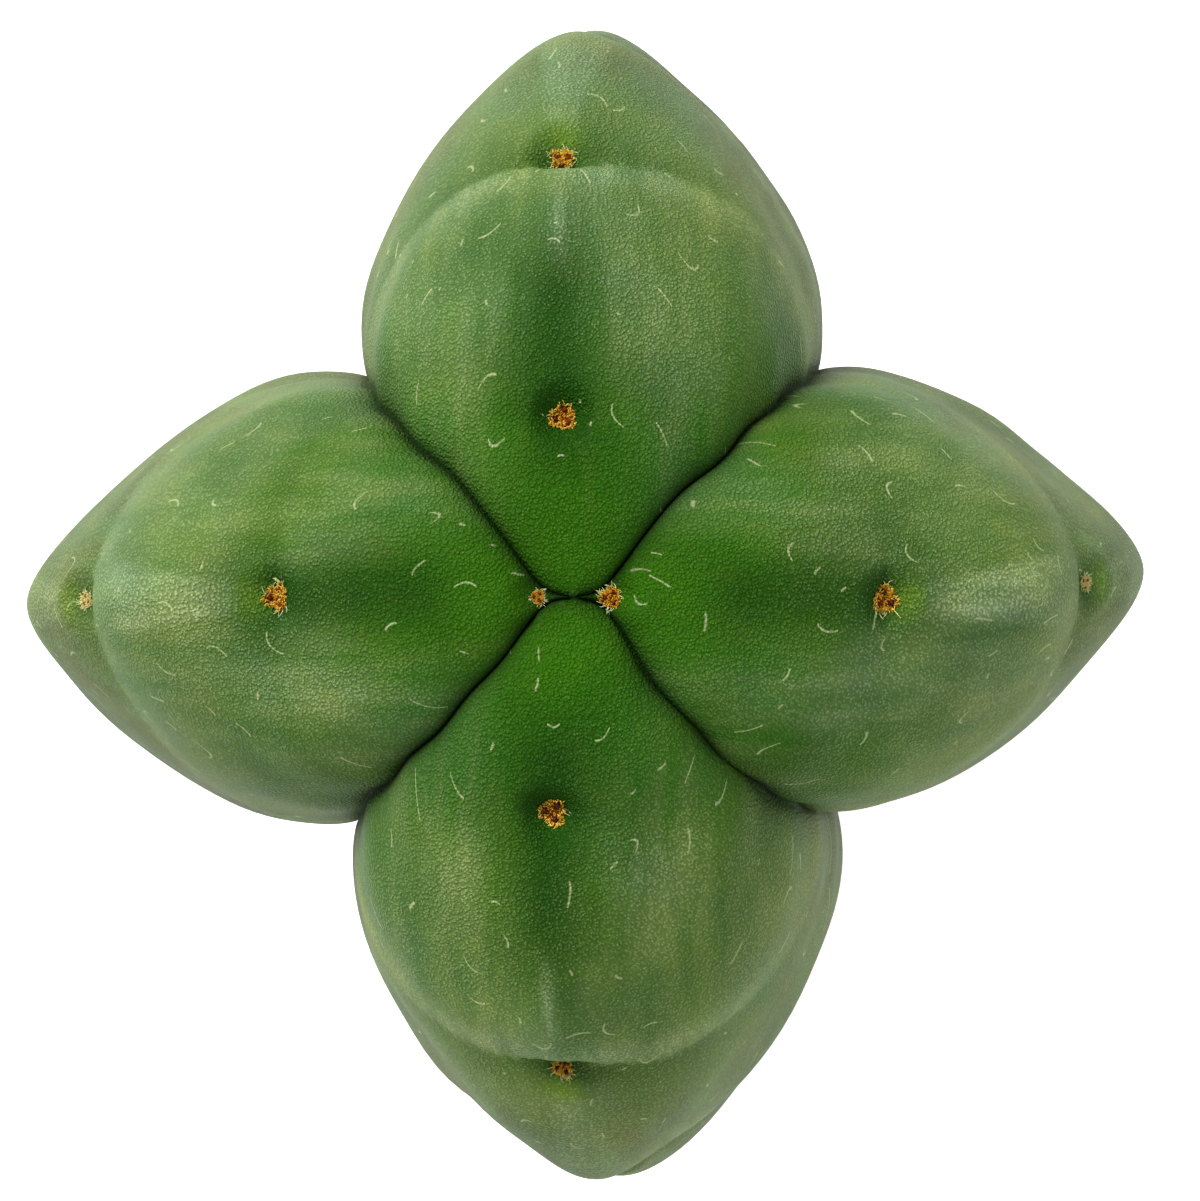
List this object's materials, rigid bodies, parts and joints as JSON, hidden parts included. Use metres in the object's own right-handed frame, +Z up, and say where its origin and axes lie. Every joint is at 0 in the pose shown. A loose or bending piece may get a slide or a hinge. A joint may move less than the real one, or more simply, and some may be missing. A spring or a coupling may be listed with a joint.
{
  "type": "potted cactus",
  "caption": "Upright ribbed columnar cactus with felted areoles and stub spines, planted in potting soil in a plain round clay pot with a drain hole.",
  "frame": {"origin": "centre of the pot's foot, on the surface that it stands on", "axes": "+Z up along the stem, +X towards the east rib, +Y towards the north rib, -Y is the front"},
  "size_m": [0.1108, 0.1108, 0.3683],
  "materials": {
    "terracotta": "unglazed fired clay, matte",
    "potting_soil": "loose bark and grit, matte",
    "cactus_skin": "waxy green skin with a pale bloom, satin",
    "areole_felt": "tan plant felt, matte"
  },
  "bodies": {
    "root": {"pot": "terracotta", "soil": "potting_soil", "stem": "cactus_skin", "areole_east_01": "areole_felt", "areole_east_02": "areole_felt", "areole_east_03": "areole_felt", "areole_east_04": "areole_felt", "areole_east_05": "areole_felt", "areole_east_06": "areole_felt", "areole_east_07": "areole_felt", "areole_east_08": "areole_felt", "areole_east_09": "areole_felt", "areole_east_10": "areole_felt", "areole_east_11": "areole_felt", "areole_east_12": "areole_felt", "areole_north_01": "areole_felt", "areole_north_02": "areole_felt", "areole_north_03": "areole_felt", "areole_north_04": "areole_felt", "areole_north_05": "areole_felt", "areole_north_06": "areole_felt", "areole_north_07": "areole_felt", "areole_north_08": "areole_felt", "areole_north_09": "areole_felt", "areole_north_10": "areole_felt", "areole_north_11": "areole_felt", "areole_north_12": "areole_felt", "areole_south_01": "areole_felt", "areole_south_02": "areole_felt", "areole_south_03": "areole_felt", "areole_south_04": "areole_felt", "areole_south_05": "areole_felt", "areole_south_06": "areole_felt", "areole_south_07": "areole_felt", "areole_south_08": "areole_felt", "areole_south_09": "areole_felt", "areole_south_10": "areole_felt", "areole_south_11": "areole_felt", "areole_south_12": "areole_felt", "areole_west_01": "areole_felt", "areole_west_02": "areole_felt", "areole_west_03": "areole_felt", "areole_west_04": "areole_felt", "areole_west_05": "areole_felt", "areole_west_06": "areole_felt", "areole_west_07": "areole_felt", "areole_west_08": "areole_felt", "areole_west_09": "areole_felt", "areole_west_10": "areole_felt", "areole_west_11": "areole_felt", "areole_west_12": "areole_felt"}
  },
  "joints": []
}
